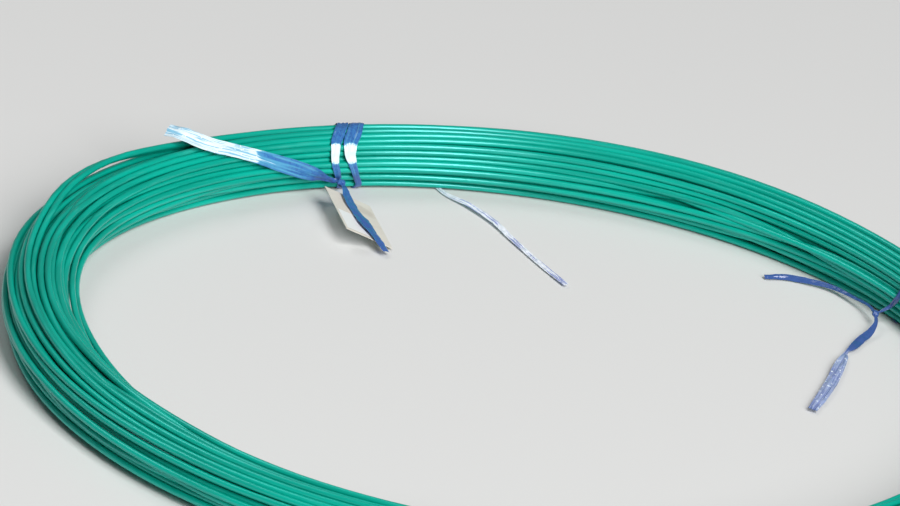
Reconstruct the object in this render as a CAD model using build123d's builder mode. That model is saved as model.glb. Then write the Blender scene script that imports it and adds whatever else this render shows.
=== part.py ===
from build123d import *
import math
import os

# A coil of plastic-coated steel wire that lies flat on a floor, tied round with strips of film.
# Millimetres, +Z up. The origin is on the floor, on the coil's axis.
# Angles go round the coil from +X towards +Y; "inwards" is towards the coil's axis.

# Wire and winding
wire_diameter = 5.0          # steel core and its coating together
coil_mean_diameter = 750.0   # through the middle of the bundle
winding_columns = 9          # stacks of turns, side by side from the eye outwards
edge_column_turns = 7        # turns in the stack next to the eye, and in the outermost one
tallest_column_turns = 10    # turns in the tallest stacks

# Film ties, each one strip drawn round the bundle and knotted in the eye
film_thickness = 0.8         # the strip is gathered, so it is thicker than the film alone
film_clearance = 0.3         # between the film and what it touches
loose_end_slack = 0.4        # more room under the end that lies over the bundle without being pulled tight
wrap_width = 9.0
knot_diameter = 9.0          # across the flats of the pulled-tight lump
knot_length = 14.0
knot_mouth = 4.0             # across the flats where the strip comes out
knot_strip_width = 3.0       # the strip where it comes out of its knot
knot_height = 13.0           # middle of a knot above the floor

# Where the ties are round the coil, in degrees
back_tie_angle = 114.6
back_wrap_spacing = 2.1      # between the middles of the double tie's two wraps
right_tie_angle = 37.2

# Card tag, tied to the double tie: one long edge on the floor, the other raised
tag_width = 42.0
tag_length = 82.0
tag_thickness = 0.6
tag_gap = 22.0               # from the wall of the eye to the middle of the tag's top edge
tag_offset_angle = 0.6       # round the coil from the tie to the middle of the top edge
tag_turn = -8.0              # the long side against the way inwards
tag_lean = 21.8
# Where a loose end of the double tie crosses the tag: (across from its middle, down from its top
# edge, width of the strip)
tag_tail = [(-3.5, -1.0, 4.0), (5.0, 32.0, 6.0), (14.0, 62.0, 7.0), (19.0, 80.0, 4.0)]

# The double tie's other loose end lies over the bundle: (place on the bundle's outline, degrees from
# the tie, width of the strip). Whole places are the corners in outline_corners
tail_over_bundle = [
    (0.5, 6.1, 9.0),
    (0.9, 11.8, 10.0),
    (1.0, 13.0, 10.0),
    (1.5, 16.4, 10.0),
    (2.0, 17.9, 10.0),
    (3.0, 19.8, 10.0),
    (3.5, 20.8, 8.0),
]

# Loose ends on the floor in the eye: (inwards from the eye's wall, degrees from the tie, height of the
# strip's middle, width of the strip)
on_floor = film_thickness / 2
right_tail_long = [(56.0, -7.2, 1.5, 6.0), (93.0, -17.2, on_floor, 9.0), (122.0, -31.8, on_floor, 7.0)]
right_tail_short = [(8.0, 7.8, 5.0, 4.0), (20.0, 11.8, 1.5, 6.0), (31.0, 16.3, on_floor, 6.0)]

# Narrow strip of film caught under the coil. It starts under the middle of the bundle, and the rest of
# it is given like the loose ends, all of it on the floor: (inwards, degrees from its start, width)
strip_angle = 101.7
strip_start_width = 3.5
strip_route = [(26.0, -4.0, 4.0), (70.0, -8.8, 4.0), (120.0, -15.5, 3.5), (153.0, -22.1, 3.0)]

column_pitch = wire_diameter * math.sqrt(3) / 2
cell_reach = wire_diameter / math.sqrt(3)
coil_mean_radius = coil_mean_diameter / 2
bundle_reach = (winding_columns - 1) / 2 * column_pitch + cell_reach
eye_radius = coil_mean_radius - bundle_reach
bundle_low = film_thickness + film_clearance
bundle_middle = bundle_low + tallest_column_turns * wire_diameter / 2
wrap_angle = math.degrees(wrap_width / eye_radius)


def turns_in_column(column):
    """The stacks grow by one turn from each side, then swap between the two tallest heights."""
    grown = edge_column_turns + min(column, winding_columns - 1 - column)
    over = grown - tallest_column_turns
    return grown if over <= 0 else tallest_column_turns - over % 2


def column_radius(column):
    return coil_mean_radius + (column - (winding_columns - 1) / 2) * column_pitch


def column_places(column):
    """Middle of each turn of a stack in the section, from the lowest up."""
    turns = turns_in_column(column)
    lowest = bundle_middle - (turns - 1) / 2 * wire_diameter
    return [(column_radius(column), lowest + turn * wire_diameter) for turn in range(turns)]


def section_plane(angle):
    """Upright plane through the coil's axis: its x runs outwards and its y runs up."""
    return Plane.XZ.rotated((0, 0, angle))


def polar_point(radius, angle, height):
    turn = math.radians(angle)
    return Vector(radius * math.cos(turn), radius * math.sin(turn), height)


# Corners of the bundle's outline in the section, from the knots' height up the eye's wall and over the
# crown to the outer shoulder
all_columns = range(winding_columns)
stack_places = [column_places(column) for column in all_columns]
tallest_columns = [column for column in all_columns if turns_in_column(column) == tallest_column_turns]
shoulder_height = bundle_middle + edge_column_turns * wire_diameter / 2
crown_height = bundle_middle + tallest_column_turns * wire_diameter / 2
outline_corners = [
    Vector(eye_radius, knot_height),
    Vector(eye_radius, shoulder_height),
    Vector(column_radius(tallest_columns[0]) - cell_reach / 2, crown_height),
    Vector(column_radius(tallest_columns[-1]) + cell_reach / 2, crown_height),
    Vector(coil_mean_radius + bundle_reach, shoulder_height),
]
corner_share = 0.25          # of the way to the next corner, over which the film bends round a corner


def outline_point(place):
    corner = min(max(int(place), 0), len(outline_corners) - 2)
    start, end = outline_corners[corner], outline_corners[corner + 1]
    return start + (end - start) * (place - corner)


def over_bundle(place, angle):
    """Point for the middle of a strip that lies on the bundle, and the way its face looks there."""
    run = outline_point(place + corner_share) - outline_point(place - corner_share)
    normal = Vector(-run.Y, run.X).normalized()
    point = outline_point(place) + normal * (film_clearance + loose_end_slack + film_thickness / 2)
    return polar_point(point.X, angle, point.Y), polar_point(normal.X, angle, normal.Y)


def film_strip(points, widths, normals):
    """Flat strip of film through the points, with its width and the way its face looks at each."""
    with BuildPart(mode=Mode.PRIVATE) as strip:
        for index, (point, width, normal) in enumerate(zip(points, widths, normals)):
            before = points[max(index - 1, 0)]
            after = points[min(index + 1, len(points) - 1)]
            run = (after - before).normalized()
            with BuildSketch(Plane(origin=point, x_dir=run.cross(normal), z_dir=run)):
                Rectangle(width, film_thickness)
        loft(ruled=True)
    return strip.part


def knot_point(angle):
    """A knot sits against the wall of the eye, on the film of its wrap."""
    return polar_point(eye_radius - film_clearance - knot_diameter / 2, angle, knot_height)


def knot(angle):
    """Six-sided lump with its length round the coil, drawn in at both mouths."""
    along = polar_point(1, angle + 90, 0)
    stations = [
        (-knot_length / 2, knot_mouth),
        (-knot_length / 4, knot_diameter),
        (knot_length / 4, knot_diameter),
        (knot_length / 2, knot_mouth),
    ]
    with BuildPart(mode=Mode.PRIVATE) as lump:
        for distance, across_flats in stations:
            middle = knot_point(angle) + along * distance
            with BuildSketch(Plane(origin=middle, x_dir=(0, 0, 1), z_dir=along)):
                RegularPolygon(radius=across_flats / 2, side_count=6, major_radius=False)
        loft(ruled=True)
    return lump.part


def loose_end(tie_angle, route):
    """Strip from a tie's knot along a route on the floor in the eye."""
    points = [knot_point(tie_angle)]
    widths = [knot_strip_width]
    for inwards, turn, height, width in route:
        points.append(polar_point(eye_radius - inwards, tie_angle + turn, height))
        widths.append(width)
    return film_strip(points, widths, [Vector(0, 0, 1)] * len(points))


# Every turn fills its own six-sided cell, so the stacked turns show as ribs on the turned solid.
# Underneath, where the coil lies on the floor, the outline is drawn straight
with BuildSketch(Plane.XZ) as underside:
    with Locations(*[places[0] for places in stack_places]):
        RegularPolygon(radius=wire_diameter / 2, side_count=6, major_radius=False)
    make_hull()
with BuildSketch(Plane.XZ) as bundle_section:
    with Locations(*[place for places in stack_places for place in places]):
        RegularPolygon(radius=wire_diameter / 2, side_count=6, major_radius=False)
    add(underside.sketch_local)

# A wrap's section is the ring between the taut outline of the bundle and the film's outer face
with BuildSketch(Plane.XZ) as taut_outline:
    make_hull(bundle_section.sketch_local.edges())
with BuildSketch(Plane.XZ) as wrap_section:
    add(taut_outline.sketch_local)
    offset(amount=film_clearance + film_thickness, kind=Kind.INTERSECTION)
    with BuildSketch(Plane.XZ, mode=Mode.PRIVATE) as wrap_inside:
        add(taut_outline.sketch_local)
        offset(amount=film_clearance, kind=Kind.INTERSECTION)
    add(wrap_inside.sketch_local, mode=Mode.SUBTRACT)


def film_wrap(middle_angle):
    """One turn of film round the bundle."""
    with BuildPart(mode=Mode.PRIVATE) as turn:
        with BuildSketch(section_plane(middle_angle - wrap_angle / 2)):
            add(wrap_section.sketch_local)
        revolve(axis=Axis.Z, revolution_arc=wrap_angle)
    return turn.part


tag_angle = back_tie_angle + tag_offset_angle
tag_side_angle = tag_angle - 90 + tag_turn
lean = math.radians(tag_lean)
tag_middle_height = tag_thickness / 2 + film_clearance + tag_width / 2 * math.sin(lean)
across_tag = polar_point(math.cos(lean), tag_side_angle, -math.sin(lean))
tag_plane = Plane(
    origin=polar_point(eye_radius - tag_gap, tag_angle, tag_middle_height),
    x_dir=across_tag,
    z_dir=across_tag.cross(polar_point(1, tag_side_angle + 90, 0)),
)
tag_strip_lift = tag_thickness / 2 + film_clearance + film_thickness / 2
tag_tail_points = [
    tag_plane.from_local_coords((across, -down, tag_strip_lift)) for across, down, width in tag_tail
]

over_places = [over_bundle(place, back_tie_angle + turn) for place, turn, width in tail_over_bundle]
knot_start = knot_point(back_tie_angle)
knot_normal = polar_point(-1, back_tie_angle, 0)

with BuildPart() as wire_coil:
    add(bundle_section.sketch)
    revolve(axis=Axis.Z)
wire_coil.part.label = "wire_coil"

with BuildPart() as back_film_tie:
    add(film_wrap(back_tie_angle - back_wrap_spacing / 2))
    add(film_wrap(back_tie_angle + back_wrap_spacing / 2))
    add(knot(back_tie_angle))
    add(film_strip(
        [knot_start] + [point for point, normal in over_places],
        [knot_strip_width] + [width for place, turn, width in tail_over_bundle],
        [knot_normal] + [normal for point, normal in over_places],
    ))
    add(film_strip(
        [knot_start] + tag_tail_points,
        [knot_strip_width] + [width for across, down, width in tag_tail],
        [tag_plane.z_dir] * (1 + len(tag_tail)),
    ))
back_film_tie.part.label = "back_film_tie"

with BuildPart() as right_film_tie:
    add(film_wrap(right_tie_angle))
    add(knot(right_tie_angle))
    add(loose_end(right_tie_angle, right_tail_long))
    add(loose_end(right_tie_angle, right_tail_short))
right_film_tie.part.label = "right_film_tie"

with BuildPart() as trapped_film_strip:
    strip_points = [polar_point(coil_mean_radius, strip_angle, on_floor)]
    strip_widths = [strip_start_width]
    for inwards, turn, width in strip_route:
        strip_points.append(polar_point(eye_radius - inwards, strip_angle + turn, on_floor))
        strip_widths.append(width)
    add(film_strip(strip_points, strip_widths, [Vector(0, 0, 1)] * len(strip_points)))
trapped_film_strip.part.label = "trapped_film_strip"

with BuildPart() as card_tag:
    with BuildSketch(tag_plane):
        with Locations((0, -tag_length / 2)):
            Rectangle(tag_width, tag_length)
    extrude(amount=tag_thickness / 2, both=True)
card_tag.part.label = "card_tag"

os.makedirs("parts", exist_ok=True)
for piece in (wire_coil, back_film_tie, right_film_tie, trapped_film_strip, card_tag):
    export_step(piece.part, f"parts/{piece.part.label}.step")
    print(piece.part.label, len(piece.part.solids()), round(piece.part.volume), piece.part.bounding_box())
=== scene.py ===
import bpy
import math
import numpy as np
from mathutils import Matrix, Vector


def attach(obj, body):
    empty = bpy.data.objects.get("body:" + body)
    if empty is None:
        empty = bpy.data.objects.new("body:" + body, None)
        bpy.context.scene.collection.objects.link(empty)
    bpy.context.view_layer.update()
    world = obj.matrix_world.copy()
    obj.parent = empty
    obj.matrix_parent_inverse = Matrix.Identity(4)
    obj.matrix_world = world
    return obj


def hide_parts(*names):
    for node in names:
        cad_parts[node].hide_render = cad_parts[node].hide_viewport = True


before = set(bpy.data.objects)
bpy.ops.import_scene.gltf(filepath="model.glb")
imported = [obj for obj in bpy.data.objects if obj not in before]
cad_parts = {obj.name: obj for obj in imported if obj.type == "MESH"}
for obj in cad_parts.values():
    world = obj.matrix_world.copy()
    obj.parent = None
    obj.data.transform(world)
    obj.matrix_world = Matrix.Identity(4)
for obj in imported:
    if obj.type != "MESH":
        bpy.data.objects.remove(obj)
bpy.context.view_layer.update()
luck = np.random.default_rng(11)

# Angles go round the coil in degrees, from +X towards +Y. A place in the bundle's section is
# (distance from the coil's axis, height), in metres.


def polar(radius, angle, height):
    turn = math.radians(angle)
    return Vector((radius * math.cos(turn), radius * math.sin(turn), height))


def ease(share):
    # from 0 to 1 with a soft start and a soft stop
    share = np.clip(share, 0, 1)
    return share * share * (3 - 2 * share)


# Camera: a long lens, because the strands look equally thick all over the picture
view = {
    "lens": 320.0,
    "sensor": 36.0,
    "elevation": 22.88,
    "roll": 7.59,
    "distance": 6.188,
    "aim": Vector((-0.0555, 0.1707, 0.0286)),
    "farthest": 100,
}


def addCamera():
    elevation = math.radians(view["elevation"])
    roll = math.radians(view["roll"])
    back = Vector((0, -math.cos(elevation), math.sin(elevation)))
    level = Vector((1, 0, 0))
    upright = back.cross(level)
    right = level * math.cos(roll) + upright * math.sin(roll)
    up = upright * math.cos(roll) - level * math.sin(roll)
    place = Matrix((right, up, back)).transposed().to_4x4()
    place.translation = view["aim"] + back * view["distance"]
    bpy.ops.object.camera_add()
    camera = bpy.context.object
    camera.matrix_world = place
    camera.data.lens = view["lens"]
    camera.data.sensor_width = view["sensor"]
    camera.data.clip_end = view["farthest"]
    bpy.context.scene.camera = camera


addCamera()
print("camera set")

# Wire: every turn of it follows its place in the bundle, and the bundle changes shape round the coil
wire = {
    "diameter": 0.005,
    "meanRadius": 0.375,
    "turns": 77,
    "searched": 7,            # places tried on each side of the section's middle
    "stations": 40,           # points a turn
    "start": 300,             # where the wire begins and ends, away from the ties
    "moveOn": (250, 375),     # where each turn moves on to its next place
    "cordTurns": (20, 19, 19, 19),
    "floorGap": 0.0006,       # between the floor and the lowest turns
    "splineSteps": 3,
    "bevelSteps": 4,
}
# The bundle round the coil: (angle, width and height against the close-packed section's, outwards in mm,
# unevenness in mm)
bundleShape = [
    (0, 1.08, 1.04, 5, 1.2),
    (37.2, 1.0, 1.02, 7.5, 0.15),
    (62, 1.1, 1.15, 10, 1.3),
    (90, 1.08, 1.12, 12, 1.2),
    (114.6, 1.0, 1.0, 9.5, 0.15),
    (132, 0.98, 1.03, 10, 0.5),
    (150, 0.96, 0.98, 11, 0.5),
    (162, 0.95, 0.96, 5, 0.6),
    (175, 1.0, 0.94, -13, 1.3),
    (188, 1.05, 0.92, -27, 1.7),
    (202, 1.05, 0.92, -31, 1.9),
    (222, 1.02, 0.92, -33, 1.6),
    (242, 1.02, 0.94, -31, 1.6),
    (262, 1.04, 0.96, -24, 1.6),
    (300, 1.08, 1.0, -6, 1.6),
]
# Turns that stray from the bundle: (side of it that they lie on, how many turns lie further out on that
# side, outwards in mm, up in mm, middle in degrees, half its length in degrees)
strays = [
    (75, 0, 5.5, 7.5, 150, 13),
    (75, 1, 5.5, 7, 151, 12),
    (75, 0, 0, 3, 192, 14),
    (85, 3, 1, 4, 210, 18),
    (60, 2, 2, 3, 232, 15),
    (195, 0, -9, 0, 192, 27),
    (195, 1, -7, 0, 203, 27),
    (195, 2, -4, 0, 183, 22),
    (195, 3, -5, 0, 222, 24),
]
# Turns that change places with a neighbour for a while
swaps = {
    "count": 30,
    "nearest": 5,                                     # neighbours to choose from
    "zones": [(402, 428), (484, 518), (545, 575)],    # where they may cross over or back, clear of the ties
    "rise": (24, 38),                                 # degrees that a crossing takes
}
settling = {
    "rounds": 280,
    "quickRounds": 60,
    "lastRounds": 60,         # over which all but the pushing apart dies down
    "jitter": 0.0002,         # so that no two turns start in the same spot
    "spring": 0.3,            # how much of a bend straightens in a round
    "hold": 0.03,             # how much of the way back to its wanted place a turn goes in a round
    "draw": 0.006,            # the same towards the middle of the bundle, at a tie
    "push": 0.35,             # share of an overlap that each of the two turns gives way
    "spacing": 1.01,          # diameters from middle to middle where turns touch
    "ties": (114.6, 37.2),    # angles at which film holds the bundle together
    "tieReach": 10,           # degrees over which a tie lets go
    "shapeRounds": 2,         # of smoothing the bundle's shape
    "wanderRounds": 6,        # of smoothing the turns' unevenness
    "sunk": 3,                # turns that start lower than the floor allows, and are pushed up
}


def upAndDown(entry):
    # stack by stack, upwards in one and downwards in the next
    _, column, place = entry
    return column, place[1] * (-1) ** column


def windingOrder():
    # the places nearest to the middle of a close-packed section, in the order in which they are wound
    pitch = wire["diameter"] * math.sqrt(3) / 2
    offCentre = wire["diameter"] / 8
    searched = range(-wire["searched"], wire["searched"] + 1)
    places = []
    for column in searched:
        for row in searched:
            place = (column * pitch, (row + column % 2 / 2) * wire["diameter"])
            places.append((math.hypot(place[0], place[1] - offCentre), column, place))
    nearest = sorted(places)[:wire["turns"]]
    return np.array([place for _, _, place in sorted(nearest, key=upAndDown)])


order = windingOrder()
turnCount = wire["turns"]
stationAngles = wire["start"] + 360 * np.arange(wire["stations"]) / wire["stations"]
# keeps each turn's distance to itself from being nothing
ownSpace = np.eye(turnCount)[..., None]


def degreesFrom(angle):
    # to every station, the short way round
    return (stationAngles - angle + 180) % 360 - 180


def shapeAtStations():
    # the bundle's shape, with the bends between the rows smoothed out
    stops = np.array(bundleShape)
    shapes = np.array([np.interp(stationAngles, stops[:, 0], column, period=360) for column in stops.T[1:]])
    for _ in range(settling["shapeRounds"]):
        shapes = (np.roll(shapes, 1, axis=1) + 2 * shapes + np.roll(shapes, -1, axis=1)) / 4
    return shapes


def orderedPlaces():
    # each turn's place in the section at every station: it moves on to the next place across the seam,
    # where one turn ends and the following one starts
    first, last = wire["moveOn"]
    moved = ease((stationAngles - first) / (last - first))
    wrapped = ease((stationAngles - 360 - first) / (last - first))
    steps = np.arange(turnCount)[:, None] - 1 + moved + wrapped
    steps = np.clip(steps, 0, turnCount - 1)
    low = np.minimum(steps.astype(int), turnCount - 2)
    share = (steps - low)[..., None]
    return order[low] * (1 - share) + order[low + 1] * share


def swapNeighbours(places):
    # pairs of neighbours change places for a while, so that turns cross at a slight angle
    free = list(range(turnCount))
    for _ in range(swaps["count"]):
        one = free.pop(int(luck.integers(len(free))))
        near = sorted(free, key=lambda other: np.hypot(*(order[other] - order[one])))[:swaps["nearest"]]
        other = near[int(luck.integers(len(near)))]
        free.remove(other)
        first, last = sorted(luck.choice(len(swaps["zones"]), 2, replace=False))
        start = luck.uniform(*swaps["zones"][first])
        end = luck.uniform(*swaps["zones"][last])
        rise = luck.uniform(*swaps["rise"])
        swapped = (ease((stationAngles - start) / rise) * (1 - ease((stationAngles - end) / rise)))[:, None]
        oneWay = places[one] * (1 - swapped) + places[other] * swapped
        places[other] = places[other] * (1 - swapped) + places[one] * swapped
        places[one] = oneWay


def unevenness(places, amount):
    # slow wander of each turn, in both directions of the section
    wander = luck.normal(size=(turnCount * wire["stations"], 2))
    for _ in range(settling["wanderRounds"]):
        wander[1:-1] = (wander[:-2] + wander[1:-1] + wander[2:]) / 3
    wander = wander.reshape(places.shape)
    return wander / wander.std() * amount[:, None] / 1000


def bundlePlaces():
    places = orderedPlaces()
    swapNeighbours(places)
    width, height, outwards, uneven = shapeAtStations()
    places = places * np.stack([width, height], axis=-1)
    places += unevenness(places, uneven)
    places[..., 0] += wire["meanRadius"] + outwards / 1000
    lowest = np.sort(places[..., 1], axis=0)[settling["sunk"]]
    places[..., 1] += wire["diameter"] / 2 + wire["floorGap"] - lowest
    return places


def tieGrip():
    # how firmly the ties hold at each station
    grip = np.zeros(len(stationAngles))
    for angle in settling["ties"]:
        grip = np.maximum(grip, np.exp(-(degreesFrom(angle) / settling["tieReach"]) ** 2))
    return grip[:, None]


def settle(wanted):
    # the turns push each other apart, stay springy along their length, are drawn together by the
    # ties and rest on the floor
    places = wanted + luck.normal(size=wanted.shape) * settling["jitter"]
    rounds = settling["rounds"]
    grip = tieGrip()
    for step in range(rounds):
        whole = places.reshape(-1, 2)
        springy = (whole[:-2] + whole[2:]) / 2 - whole[1:-1]
        easing = min(1, (rounds - step) / settling["lastRounds"])
        whole[1:-1] += springy * settling["spring"] * easing ** 2
        places += (wanted - places) * settling["hold"] * easing
        places += (places.mean(axis=0) - places) * settling["draw"] * easing * grip
        apart = places[:, None] - places[None, :]
        distance = np.hypot(apart[..., 0], apart[..., 1]) + ownSpace
        overlap = np.clip(wire["diameter"] * settling["spacing"] - distance, 0, None)
        places += (apart * (overlap / distance * settling["push"])[..., None]).sum(axis=1)
        places[..., 1] = np.maximum(places[..., 1], wire["diameter"] / 2 + wire["floorGap"])
    return places


def bowStrays(places):
    # single turns bowed away from the side of the bundle that they lie on
    for side, rank, outwards, up, middle, half in strays:
        way = (math.cos(math.radians(side)), math.sin(math.radians(side)))
        away = degreesFrom(middle)
        turn = np.argsort(-(places[:, np.argmin(abs(away))] @ way))[rank]
        places[turn] += np.exp(-(away / half) ** 2)[:, None] * (outwards / 1000, up / 1000)
    return places


bundle = bowStrays(settle(bundlePlaces()))
spacing = np.hypot(*np.moveaxis(bundle[:, None] - bundle[None, :], -1, 0)) + ownSpace
print("wire settled, closest turns", round(spacing.min() * 1000, 2), "mm apart")


def wirePoints():
    # control points of the whole wire, and a little outwards because the spline runs inside them
    loose = 1 / math.cos(math.pi / wire["stations"])
    angles = np.radians(np.tile(stationAngles, turnCount))
    radius = bundle.reshape(-1, 2)[:, 0] * loose
    height = bundle.reshape(-1, 2)[:, 1]
    return np.stack([radius * np.cos(angles), radius * np.sin(angles), height], axis=-1)


def addCord(name, points):
    curve = bpy.data.curves.new(name, "CURVE")
    curve.dimensions = "3D"
    spline = curve.splines.new("NURBS")
    spline.points.add(len(points) - 1)
    for point, place in zip(spline.points, points):
        point.co = (*place, 1)
        point.radius = wire["diameter"] / 2
    spline.order_u = 3
    spline.use_endpoint_u = True
    curve.resolution_u = wire["splineSteps"]
    curve.bevel_depth = 1      # times each point's radius, which Blender also adds to the piece's box
    curve.bevel_resolution = wire["bevelSteps"]
    curve.use_fill_caps = True
    cord = bpy.data.objects.new(name, curve)
    bpy.context.collection.objects.link(cord)
    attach(cord, "root")
    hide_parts("wire_coil")
    return cord


def addWire():
    # a cord may be 60 m long at most, so the one wire is drawn as four cords. They meet half-way between
    # two points, where a spline through them all would pass. At the wire's own ends nothing is added
    points = wirePoints()
    ends = [0, *np.cumsum(wire["cordTurns"]) * wire["stations"]]
    cords = []
    for number, (first, last) in enumerate(zip(ends[:-1], ends[1:]), 1):
        before = (points[first - 1:first] + points[first:first + 1]) / 2
        after = (points[last - 1:last] + points[last:last + 1]) / 2
        route = np.vstack([before, points[first:last], after])
        cords.append(addCord(f"wire_{number}", route))
    return cords


cords = addWire()
print("wire laid")


def deselectAll():
    bpy.ops.object.select_all(action="DESELECT")


def modify(piece, kind, settings):
    bpy.context.view_layer.objects.active = piece
    modifier = piece.modifiers.new(kind.lower(), kind)
    for key, value in settings.items():
        setattr(modifier, key, value)
    bpy.ops.object.modifier_apply(modifier=modifier.name)


def crumple(piece, name, size, depth, level=0.5):
    # pushes the surface in and out by a cloudy pattern in the piece's own space
    texture = bpy.data.textures.new(name, "CLOUDS")
    texture.noise_scale = size
    texture.noise_depth = 2
    modify(piece, "DISPLACE", {"texture": texture, "strength": depth, "mid_level": level,
                               "texture_coords": "LOCAL"})


def joinPieces(pieces, name):
    deselectAll()
    for piece in pieces:
        piece.select_set(True)
    bpy.context.view_layer.objects.active = pieces[0]
    bpy.ops.object.join()
    pieces[0].name = name
    return pieces[0]


def smoothLine(stops, step):
    # a smooth line through rows of numbers whose first three are a place, with a row at every step
    stops = np.array(stops, dtype=float)
    along = np.append(0, np.cumsum(np.linalg.norm(np.diff(stops[:, :3], axis=0), axis=1)))
    slope = np.gradient(stops, along, axis=0)
    wanted = np.linspace(0, along[-1], int(along[-1] / step) + 2)
    span = np.clip(np.searchsorted(along, wanted, side="right") - 1, 0, len(along) - 2)
    reach = (along[span + 1] - along[span])[:, None]
    share = (wanted - along[span])[:, None] / reach
    back = 1 - share
    return (back ** 2 * ((1 + 2 * share) * stops[span] + share * reach * slope[span])
            + share ** 2 * ((1 + 2 * back) * stops[span + 1] - back * reach * slope[span + 1]))


# Film: gathered strips, drawn round the bundle and knotted in the eye
film = {
    "thickness": 0.0002,
    "clearance": 0.0007,      # from the turns to the middle of a strip
    "step": 0.0012,           # between the rows of a strip's mesh
    "across": 14,             # faces across a strip
    "baseWidth": 0.01,        # which the guide narrows or widens
    "wrapStep": 7.5,          # degrees round the bundle between the stops of a wrap
    "drawnOut": 14,           # how much longer than wide its folds are
    "foldSize": 0.0035,
    "foldDepth": 0.0028,
    "foldLevel": 0.34,        # lower than half, so that the folds stand off the turns
    "creaseSize": 0.006,
    "creaseDepth": 0.0012,
    "smoothAngle": 60,
}
# A knot is a lump with a turn of strip about its middle
knots = {
    "segments": 40,
    "rings": 28,
    "turnSegments": (36, 14),     # round the turn, and round the strip in it
    "turnRadius": 0.42,           # this and the next against the knot's size along the coil's radius
    "stripRadius": 0.17,
    "turnTilt": 78,
    "turnTwist": 15,
    "creaseSize": 0.0022,
    "creaseDepth": 0.0016,
}


def stripTilts(places, normals):
    # how far a strip on the curve is turned at each point, so that its face looks along the normal there
    runs = np.diff(places, axis=0)
    runs /= np.linalg.norm(runs, axis=1)[:, None]
    headings = [Vector(run).normalized() for run in np.vstack([runs[:1], runs[:-1] + runs[1:], runs[-1:]])]
    carried = Vector((0, 0, 1)) - headings[0] * headings[0].z
    tilts = []
    for before, heading, normal in zip(headings[:1] + headings, headings, normals):
        carried.rotate(before.rotation_difference(heading))
        wanted = Vector(normal)
        tilts.append(math.atan2(wanted.dot(heading.cross(carried)), wanted.dot(carried)))
    return np.unwrap(tilts)


def stripGuide(name, rows):
    # the curve that a strip is bent along, which also sets its width and the way its face looks
    route = bpy.data.curves.new(name, "CURVE")
    route.dimensions = "3D"
    route.twist_mode = "MINIMUM"
    route.use_stretch = True
    route.use_deform_bounds = True
    line = route.splines.new("POLY")
    line.points.add(len(rows) - 1)
    for point, row, tilt in zip(line.points, rows, stripTilts(rows[:, :3], rows[:, 4:])):
        point.co = (*row[:3], 1)
        point.radius = row[3] / film["baseWidth"]
        point.tilt = tilt
    guide = bpy.data.objects.new(name, route)
    bpy.context.collection.objects.link(guide)
    return guide


def filmStrip(name, stops):
    # each stop is a place, the strip's width there and the way its face looks
    rows = smoothLine(stops, film["step"])
    length = film["step"] * len(rows)
    guide = stripGuide(name + "_route", rows)
    deselectAll()
    bpy.ops.mesh.primitive_grid_add(x_subdivisions=len(rows) - 1, y_subdivisions=film["across"], size=1,
                                    location=(luck.uniform(0, 1), 0, 0))
    strip = bpy.context.object
    strip.name = name
    strip.scale = (length / film["drawnOut"], film["baseWidth"], 1)
    bpy.ops.object.transform_apply()
    crumple(strip, "folds", film["foldSize"], film["foldDepth"], film["foldLevel"])
    strip.scale = (film["drawnOut"], 1, 1)
    bpy.ops.object.transform_apply()
    modify(strip, "CURVE", {"object": guide, "deform_axis": "POS_X"})
    crumple(strip, "creases", film["creaseSize"], film["creaseDepth"])
    for vertex in strip.data.vertices:
        vertex.co.z = max(vertex.co.z, film["thickness"])
    modify(strip, "SOLIDIFY", {"thickness": film["thickness"], "offset": 0})
    bpy.data.objects.remove(guide)
    bpy.ops.object.shade_smooth_by_angle(angle=math.radians(film["smoothAngle"]))
    return strip


def sectionAt(angle):
    # every turn's place in the bundle's section there
    station = ((angle - wire["start"]) % 360) / 360 * wire["stations"]
    low = int(station)
    share = station - low
    return bundle[:, low] * (1 - share) + bundle[:, (low + 1) % wire["stations"]] * share


def onBundle(direction, angle, width, lift=0.0, face=None):
    # a stop for film over the bundle: direction is seen from the middle of its section, 0 outwards from
    # the coil and 90 up, and so is the way that the film's face looks
    way = np.array([math.cos(math.radians(direction)), math.sin(math.radians(direction))])
    face = math.radians(direction if face is None else face)
    section = sectionAt(angle)
    middle = section.mean(axis=0)
    reach = ((section - middle) @ way).max()
    place = middle + way * (reach + wire["diameter"] / 2 + film["clearance"] + lift / 1000)
    return [*polar(place[0], angle, place[1]), width / 1000, *polar(math.cos(face), angle, math.sin(face))]


def wrapStops(stops):
    # a taut strip round the bundle, with a stop every few degrees
    stops = np.array(stops)
    directions = np.arange(stops[0, 0], stops[-1, 0], -film["wrapStep"])
    angle, width = (np.interp(-directions, -stops[:, 0], stops[:, item]) for item in (1, 2))
    return [onBundle(*row) for row in zip(directions, angle, width)]


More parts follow.
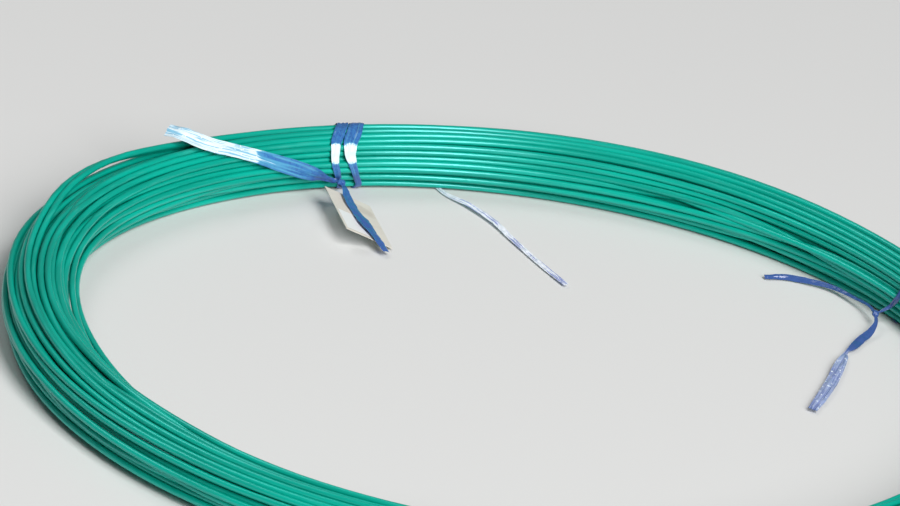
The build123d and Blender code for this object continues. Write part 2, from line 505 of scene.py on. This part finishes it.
# A wrap's rows are (direction, angle, width in mm), with the direction as onBundle takes it. The end over
# the bundle also gives the height over the turns in mm and the way its face looks. Loose ends and knots are
# (inwards from the coil's middle line in mm, angle, height in mm), and a loose end has its width in mm too
backTie = {
    "wrap": [(206, 114.5, 4), (199, 114.8, 5), (174, 115.5, 6), (154, 115.5, 7.2), (135, 115.3, 8.5),
             (112, 114.4, 9), (83, 113.3, 9), (0, 112.4, 9), (-90, 111.8, 8), (-138, 111.6, 5),
             (-162, 112.4, 5), (-185, 113.1, 6.5), (-205, 113.5, 9.5), (-224, 113.4, 11.5), (-246, 112.5, 12),
             (-282, 111.4, 11), (-360, 111.3, 9), (-450, 113.2, 8), (-500, 114.1, 5)],
    "knot": (24.5, 115.0, 13.5),
    "knotSize": (0.0055, 0.007, 0.006),
    "widthAtKnot": {"wrap": 3, "tail": 4},
    "overBundle": [(202, 116.2, 5, 0.6, 196), (189, 118.2, 11, 0.8, 182), (177, 120.5, 13, 1, 172),
                   (163, 123.3, 12.5, 1.2, 160), (149, 126, 11.5, 1.5, 150), (137, 128.4, 11, 2.2, 143),
                   (127, 130.4, 11.5, 3.5, 138), (116, 132.6, 12.5, 5, 134), (102, 134.3, 14, 6, 131),
                   (90.5, 135.8, 14, 7.5, 129), (70.3, 136.8, 14, 9, 127)],
}
rightTie = {
    "wrap": [(193, 35.7, 3.5), (174, 34.6, 5), (150, 34.2, 8), (90, 34.4, 9), (0, 35.4, 9),
             (-90, 36.2, 8), (-135, 36.4, 4)],
    "knot": (28, 36.5, 10),
    "knotSize": (0.005, 0.006, 0.005),
    "widthAtKnot": {"wrap": 2.5, "tail": 2.5},
    "down": [(33.8, 34.9, 8, 3), (43, 33.6, 5, 5.5), (60.7, 31.6, 3.4, 6.8), (72, 29.9, 3.2, 5.8),
             (80, 28.85, 3, 2.6), (89, 26.6, 3.2, 6.5), (98, 24.1, 3.6, 8.5), (113.5, 18.7, 3.4, 9.5),
             (130.3, 11.6, 3.2, 9), (141.6, 5.4, 3, 7)],
    "left": [(23.8, 38.5, 10, 2.5), (18.7, 42.7, 6.6, 3), (17.3, 47.2, 4.4, 4.2), (24.2, 50.6, 3, 5.2),
             (30.5, 52.6, 2.5, 5.6), (44.5, 54.5, 2.3, 4)],
    "lean": 35,               # degrees by which the loose ends lean on one edge
}
# Thin strip that comes out from under the bundle, given like a loose end
caughtStrip = {
    "stops": [(-4, 101.5, 1.2, 3.5), (14, 100.6, 1.6, 4), (40, 97.7, 3.4, 4.6), (78, 93.6, 2.8, 4.6),
              (89, 92.6, 2.4, 4.6), (112, 90.0, 2.2, 4.6), (139, 86.2, 2.2, 4.4), (158, 82.6, 2.4, 4.2),
              (171.5, 79.4, 2.6, 4)],
    "lean": 24,
}


def inEye(inwards, angle, height):
    return polar(wire["meanRadius"] - inwards / 1000, angle, height / 1000)


def looseStop(row, lean=0):
    # a stop for film in the eye, leaning on one edge with its face to the front
    *place, width = row
    return [*inEye(*place), width / 1000, 0, -math.sin(math.radians(lean)), math.cos(math.radians(lean))]


def knotStop(tie, part):
    return looseStop((*tie["knot"], tie["widthAtKnot"][part]))


def filmKnot(name, tie):
    # a pulled-tight lump with its length round the coil, and a turn of the strip about its middle
    place = inEye(*tie["knot"])
    angle = tie["knot"][1]
    width = tie["knotSize"][0]
    around, through = knots["turnSegments"]
    deselectAll()
    bpy.ops.mesh.primitive_uv_sphere_add(segments=knots["segments"], ring_count=knots["rings"], radius=0.5,
                                         location=place, scale=tie["knotSize"],
                                         rotation=(0, 0, math.radians(angle)))
    lump = bpy.context.object
    bpy.ops.object.transform_apply()
    deselectAll()
    bpy.ops.mesh.primitive_torus_add(major_segments=around, minor_segments=through,
                                     major_radius=width * knots["turnRadius"],
                                     minor_radius=width * knots["stripRadius"], location=place,
                                     rotation=(math.radians(knots["turnTilt"]), 0,
                                               math.radians(angle + knots["turnTwist"])))
    bpy.ops.object.transform_apply()
    lump = joinPieces([lump, bpy.context.object], name)
    crumple(lump, "knot", knots["creaseSize"], knots["creaseDepth"])
    bpy.ops.object.shade_smooth()
    return lump


def addBackTie():
    wrapEnd = knotStop(backTie, "wrap")
    tailEnd = knotStop(backTie, "tail")
    parts = [
        filmStrip("back_wrap", [wrapEnd, *wrapStops(backTie["wrap"]), wrapEnd]),
        filmStrip("back_tail", [tailEnd, *(onBundle(*row) for row in backTie["overBundle"])]),
        filmStrip("tag_tail", [tailEnd, *tagTailStops()]),
        filmKnot("back_knot", backTie),
    ]
    return joinPieces(parts, "back_tie_film")


def addRightTie():
    wrapEnd = knotStop(rightTie, "wrap")
    tailEnd = knotStop(rightTie, "tail")
    parts = [
        filmStrip("right_wrap", [wrapEnd, *wrapStops(rightTie["wrap"])]),
        filmStrip("down_tail", [tailEnd, *(looseStop(row, rightTie["lean"]) for row in rightTie["down"])]),
        filmStrip("left_tail", [tailEnd, *(looseStop(row, rightTie["lean"]) for row in rightTie["left"])]),
        filmKnot("right_knot", rightTie),
    ]
    return joinPieces(parts, "right_tie_film")


def addCaughtStrip():
    stops = [looseStop(row, caughtStrip["lean"]) for row in caughtStrip["stops"]]
    return filmStrip("caught_film_strip", stops)


# Card tag, which leans with one long edge just over the floor, under a tail of the back tie
tag = {
    "width": 0.042,
    "length": 0.082,
    "thickness": 0.0005,
    "topEdge": (42.2, 115.2, 10),      # its middle, given like a knot's place
    "acrossAngle": 15.8,
    "lean": 23,                        # degrees off the level
    "cells": (24, 48),
    "curl": 0.0018,
    "curlSize": 0.05,
    "smoothAngle": 40,
}
# Where the tail crosses it, in mm: (across from the middle, down from the top edge, over its face, width)
tagTail = [(-4, -3, 4, 5.5), (-4, 10, 2.4, 8), (-3.6, 25, 2, 9), (-1.5, 38, 1.8, 9.5), (0, 48, 1.8, 12),
           (2.5, 66, 1.8, 12), (6, 78, 1.8, 9.5), (9, 87, 0.6, 9), (13, 94, -1, 7.5)]


def tagFrame():
    # from the tag's own axes, across it, up it and out of its face, to the coil's
    lean = math.radians(tag["lean"])
    across = polar(math.cos(lean), tag["acrossAngle"], -math.sin(lean))
    upIt = polar(1, tag["acrossAngle"] + 90, 0)
    place = Matrix((across, upIt, across.cross(upIt))).transposed().to_4x4()
    place.translation = inEye(*tag["topEdge"])
    return place


def tagTailStops():
    place = tagFrame()
    face = place.to_3x3() @ Vector((0, 0, 1))
    return [[*(place @ (Vector((across, -down, over)) / 1000)), width / 1000, *face]
            for across, down, over, width in tagTail]


def addTag():
    # a sheet that hangs down from the middle of its top edge, and is then put in its place
    across, along = tag["cells"]
    deselectAll()
    bpy.ops.mesh.primitive_grid_add(x_subdivisions=across, y_subdivisions=along, size=1,
                                    location=(0, -0.5, 0))
    sheet = bpy.context.object
    sheet.name = "card_tag_sheet"
    bpy.ops.object.transform_apply()
    sheet.scale = (tag["width"], tag["length"], 1)
    bpy.ops.object.transform_apply()
    crumple(sheet, "curl", tag["curlSize"], tag["curl"])
    modify(sheet, "SOLIDIFY", {"thickness": tag["thickness"], "offset": 0})
    sheet.matrix_world = tagFrame()
    bpy.ops.object.transform_apply()
    bpy.ops.object.shade_smooth_by_angle(angle=math.radians(tag["smoothAngle"]))
    return sheet


backFilm = addBackTie()
rightFilm = addRightTie()
caughtFilm = addCaughtStrip()
tagCard = addTag()
for piece, node in ((backFilm, "back_film_tie"), (rightFilm, "right_film_tie"),
                    (caughtFilm, "trapped_film_strip"), (tagCard, "card_tag")):
    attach(piece, "root")
    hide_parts(node)
print("film tied and tag laid")


# Materials: a tap is a node's output that can stand in sums, and paint.node adds any other node
class Tap:
    def __init__(self, paint, socket):
        self.paint = paint
        self.socket = socket

    def maths(self, operation, *values):
        return self.paint.node("ShaderNodeMath", {"operation": operation}, dict(enumerate(values)))

    def __add__(self, other):
        return self.maths("ADD", self, other)

    def __radd__(self, other):
        return self.maths("ADD", other, self)

    def __rsub__(self, other):
        return self.maths("SUBTRACT", other, self)

    def __mul__(self, other):
        return self.maths("MULTIPLY", self, other)

    def __rmul__(self, other):
        return self.maths("MULTIPLY", other, self)

    def __truediv__(self, other):
        return self.maths("DIVIDE", self, other)

    def __pow__(self, other):
        return self.maths("POWER", self, other)


class Paint:
    def __init__(self, name):
        self.material = bpy.data.materials.new(name)
        self.material.use_nodes = True
        self.tree = self.material.node_tree
        self.tree.nodes.clear()

    def node(self, kind, settings=None, sockets=None, output=0):
        made = self.tree.nodes.new(kind)
        for key, value in (settings or {}).items():
            setattr(made, key, value)
        for key, value in (sockets or {}).items():
            if isinstance(value, Tap):
                self.tree.links.new(value.socket, made.inputs[key])
            else:
                made.inputs[key].default_value = value
        return Tap(self, made.outputs[output]) if made.outputs else None

    def coordinates(self, output):
        return self.node("ShaderNodeTexCoord", output=output)

    def axis(self, place, number):
        return self.node("ShaderNodeSeparateXYZ", None, {"Vector": place}, output=number)

    def noise(self, place, scale, detail=2.0):
        return self.node("ShaderNodeTexNoise", None, {"Vector": place, "Scale": scale, "Detail": detail})

    def band(self, value, low, high):
        # 0 below low, 1 over high
        return self.node("ShaderNodeMapRange", {"interpolation_type": "SMOOTHSTEP"},
                         {"Value": value, "From Min": low, "From Max": high})

    def mix(self, share, one, other):
        # sockets 6 and 7 and output 2 are the mix node's colours
        one, other = (end if isinstance(end, Tap) else (*end, 1) for end in (one, other))
        return self.node("ShaderNodeMix", {"data_type": "RGBA"}, {0: share, 6: one, 7: other}, output=2)

    def bump(self, height, strength, distance):
        return self.node("ShaderNodeBump", None,
                         {"Height": height, "Strength": strength, "Distance": distance})

    def finish(self, sockets):
        shader = self.node("ShaderNodeBsdfPrincipled", None, sockets)
        self.node("ShaderNodeOutputMaterial", None, {"Surface": shader})
        return self.material


coating = {
    "green": (0.0, 0.42, 0.31),
    "deep": (0.0, 0.33, 0.24),
    "dusty": (0.05, 0.42, 0.34),
    "dustShare": 0.4,
    "shine": (2.9, 7.6, 8.6, 1.0),
    "ior": 1.25,              # low, and made up for by the shine, so that no pale floor shows at a turn's rim
    "roughness": 0.28,
    "scuffRoughness": 0.08,   # added to it
}


def noiseAlongTurns(paint, place, across, around, detail=2.0):
    # drawn out along the turns: it changes fast across them and slowly round the coil
    x, y, z = (paint.axis(place, number) for number in range(3))
    radius = (x * x + y * y) ** 0.5
    drawn = paint.node("ShaderNodeCombineXYZ", None,
                       {"X": radius * across, "Y": x / radius * around, "Z": y / radius * around})
    return paint.node("ShaderNodeTexNoise", {"noise_dimensions": "4D"},
                      {"Vector": drawn, "W": z * across, "Scale": 1.0, "Detail": detail})


def coatingPaint():
    paint = Paint("wire_coating")
    place = paint.coordinates("Object")
    tone = noiseAlongTurns(paint, place, across=150, around=3)
    scuffs = noiseAlongTurns(paint, place, across=500, around=12, detail=3.0)
    grain = paint.noise(place, scale=900.0, detail=3.0)
    colour = paint.mix(paint.band(tone, low=0.38, high=0.62), coating["deep"], coating["green"])
    dusty = paint.band(scuffs, low=0.56, high=0.74) * coating["dustShare"]
    return paint.finish({
        "Base Color": paint.mix(dusty, colour, coating["dusty"]),
        "Roughness": coating["roughness"] + paint.band(scuffs, low=0.5, high=0.7) * coating["scuffRoughness"],
        "Specular Tint": coating["shine"],
        "IOR": coating["ior"],
        "Normal": paint.bump(grain, strength=0.05, distance=0.0002),
    })


coatingMaterial = coatingPaint()
for cord in cords:
    cord.data.materials.append(coatingMaterial)


# "low" is painted shade: a darker colour for the film near the floor, where it lies in shade
backColours = {
    "blue": (0.045, 0.18, 0.46),
    "deep": (0.03, 0.1, 0.34),
    "haze": (0.11, 0.42, 0.63),
    "low": (0.05, 0.105, 0.36),
    # painted reflection: the white that the film shows where it mirrors the lamp
    "glareColour": (0.72, 0.86, 0.93),
}
# the right tie's colours: its painted reflection is dimmed with painted shade, as this tie lies in shade
rightColours = {
    "blue": (0.045, 0.1, 0.3),
    "deep": (0.025, 0.05, 0.2),
    "haze": (0.14, 0.19, 0.44),
    "low": (0.045, 0.1, 0.3),
    "glareColour": (0.33, 0.4, 0.62),
}
caughtColours = {
    "blue": (0.1, 0.16, 0.5),
    "deep": (0.06, 0.1, 0.4),
    "haze": (0.13, 0.18, 0.52),
    "low": (0.1, 0.16, 0.5),
    # painted reflection: the white that the film shows where it mirrors the lamp
    "glareColour": (0.85, 0.9, 0.97),
}
filmLook = {
    "foldsAlong": 3,
    "hazeShare": 0.8,
    "glareHaze": 0.4,          # how much a place of painted reflection adds to the haze
    # painted shade near the floor: how much, and the heights over which it fades out
    "floorShadeShare": 0.75,
    "floorShadeHeights": (0.012, 0.02),
    "lineShare": 0.8,
    "lineFade": 0.7,          # how much of it a place of very bright painted reflection takes away
    "glareStreaking": 1.8,        # how strongly the streaks break up the painted reflection
    "glareInner": 0.6,         # share of a painted reflection's reach over which it is wholly pale
    # painted glints: the white of the flecks in a painted reflection
    "glintColour": (0.8, 0.88, 0.95),
    "roughness": 0.16,
    "glareRoughness": 0.12,    # added to it
    "ior": 1.5,
}
# Where a painted reflection of the lamp makes the film pale, white at its most: (middle, how far it reaches,
# how much)
glarePlaces = [((-0.26, 0.279, 0.049), 0.06, 1.0), ((-0.1555, 0.3276, 0.034), 0.0097, 1.6),
              ((-0.1434, 0.3326, 0.034), 0.0097, 1.6), ((0.2455, 0.082, 0.003), 0.08, 0.9),
              ((-0.191, 0.306, 0.028), 0.03, 0.3)]


def filmPaint(name, colours, folds, pale=0):
    # blue film with pale streaks along its folds, from the strips' own UV maps, and painted reflections of
    # the lamp, white with painted glints, round the places listed above; pale adds such painted reflection
    # all over the piece
    paint = Paint(name)
    place = paint.coordinates("Object")
    drawn = paint.node("ShaderNodeMapping", None,
                       {"Vector": paint.coordinates("UV"), "Scale": (filmLook["foldsAlong"], folds, 1)})
    streaks = paint.noise(drawn, scale=1.0, detail=3.0)
    hairs = paint.noise(drawn, scale=1.9)
    flecks = paint.noise(place, scale=420.0, detail=5.0)
    # how strongly each place is painted with the lamp's reflection
    for middle, reach, much in glarePlaces:
        away = paint.node("ShaderNodeVectorMath", {"operation": "DISTANCE"}, {0: place, 1: middle}, output=1)
        pale = pale + (1 - paint.band(away, low=reach * filmLook["glareInner"], high=reach)) * much
    deep = paint.band(flecks * 0.5 + streaks * 0.5, low=0.42, high=0.6)
    hazy = paint.band(streaks + pale * filmLook["glareHaze"], low=0.48, high=0.72) * filmLook["hazeShare"]
    # painted shade: the film is darker near the floor
    low = (1 - paint.band(paint.axis(place, 2), *filmLook["floorShadeHeights"])) * filmLook["floorShadeShare"]
    fading = paint.band(pale, low=1.0, high=1.5) * filmLook["lineFade"]
    lined = paint.band(hairs, low=0.5, high=0.58) * (filmLook["lineShare"] - fading)
    # painted reflection: the film turns white near the listed places, broken up by the streaks
    glare = paint.band(pale + streaks * filmLook["glareStreaking"], low=1.38, high=1.55)
    colour = paint.mix(deep, colours["blue"], colours["deep"])
    colour = paint.mix(hazy, colour, colours["haze"])
    colour = paint.mix(low, colour, colours["low"])
    # the white of the painted reflection, with blue hair lines through it
    glareColour = paint.mix(lined, colours["glareColour"], colours["haze"])
    # painted glints: white flecks in the painted reflection
    glareColour = paint.mix(paint.band(flecks, low=0.6, high=0.66), glareColour, filmLook["glintColour"])
    return paint.finish({
        "Base Color": paint.mix(glare, colour, glareColour),
        "Roughness": filmLook["roughness"] + glare * filmLook["glareRoughness"],
        "IOR": filmLook["ior"],
        "Normal": paint.bump(flecks, strength=0.25, distance=0.0004),
    })


card = {
    "cream": (0.72, 0.68, 0.61),
    "grime": (0.48, 0.43, 0.36),
    "label": (0.88, 0.88, 0.88),
    "labelFrom": (0.05, 0.05),        # corners of the blank label, as shares of the tag's width and length
    "labelTo": (0.62, 0.5),
    "labelEdge": 0.005,               # over which it fades out, on each side of its edge
    "stainShare": 0.5,
    "fibreShare": 0.15,
    "labelStainShare": 0.4,
    "fibreHeight": 0.5,               # against the label's
    "roughness": 0.62,
    "labelRoughness": 0.18,           # taken off it
}


def cardPaint():
    # uncoated card with faint fibres and grime, and a blank label pasted near its foot
    paint = Paint("card")
    uv = paint.coordinates("UV")
    place = paint.coordinates("Object")
    fibres = paint.noise(place, scale=700.0, detail=6.0)
    stains = paint.noise(place, scale=45.0, detail=4.0)
    edge = card["labelEdge"]
    label = 1
    for number, (low, high) in enumerate(zip(card["labelFrom"], card["labelTo"])):
        along = paint.axis(uv, number)
        label = label * paint.band(along, low - edge, low + edge)
        label = label * (1 - paint.band(along, high - edge, high + edge))
    stained = paint.band(stains, low=0.5, high=0.7) * card["stainShare"]
    grimy = stained + paint.band(fibres, low=0.4, high=0.8) * card["fibreShare"]
    labelled = label * (1 - paint.band(stains, low=0.52, high=0.72) * card["labelStainShare"])
    return paint.finish({
        "Base Color": paint.mix(labelled, paint.mix(grimy, card["cream"], card["grime"]), card["label"]),
        "Roughness": card["roughness"] - label * card["labelRoughness"],
        "Normal": paint.bump(fibres * card["fibreHeight"] + label, strength=0.3, distance=0.0002),
    })


# the caught strip is painted with the lamp's reflection all along it, through pale=0.8
for piece, material in ((backFilm, filmPaint("back_film", backColours, folds=5)),
                        (rightFilm, filmPaint("right_film", rightColours, folds=5)),
                        (caughtFilm, filmPaint("caught_film", caughtColours, folds=1.5, pale=0.8)),
                        (tagCard, cardPaint())):
    piece.data.materials.clear()
    piece.data.materials.append(material)
print("materials laid on")


# Floor and light: the window is a broad lamp at the front right, and the top lamp fills in from the back
studio = {
    "floor": (0.72, 0.72, 0.71, 1),
    "floorSize": 60,
    "floorRoughness": 0.9,
    "world": (0.9, 0.92, 0.95, 1),
    "worldStrength": 0.12,
    "window": {"place": (3.25, -6.28, 5.92), "aim": (0, 0.2, 0.02), "size": (3.6, 7.7), "watts": 1160},
    "top": {"place": (-2.4, 2.1, 4.2), "aim": (0, 0, 0), "size": (2.4, 2.4), "watts": 48},
}


def addFloor():
    bpy.ops.mesh.primitive_plane_add(size=studio["floorSize"])
    floor = bpy.context.object
    floor.name = "floor"
    surface = {"Base Color": studio["floor"], "Roughness": studio["floorRoughness"]}
    floor.data.materials.append(Paint("floor").finish(surface))


def addLamp(name):
    kind = studio[name]
    ray = Vector(kind["aim"]) - Vector(kind["place"])
    bpy.ops.object.light_add(type="AREA", location=kind["place"])
    lamp = bpy.context.object
    lamp.name = name
    lamp.data.shape = "RECTANGLE"
    lamp.data.size, lamp.data.size_y = kind["size"]
    lamp.data.energy = kind["watts"]
    lamp.rotation_euler = ray.to_track_quat("-Z", "Y").to_euler()


def addLight():
    world = bpy.data.worlds.new("studio")
    world.use_nodes = True
    sky = world.node_tree.nodes["Background"]
    sky.inputs["Color"].default_value = studio["world"]
    sky.inputs["Strength"].default_value = studio["worldStrength"]
    bpy.context.scene.world = world
    addLamp("window")
    addLamp("top")


addFloor()
addLight()
bpy.context.scene.view_settings.view_transform = "Standard"
print("floor and light set")
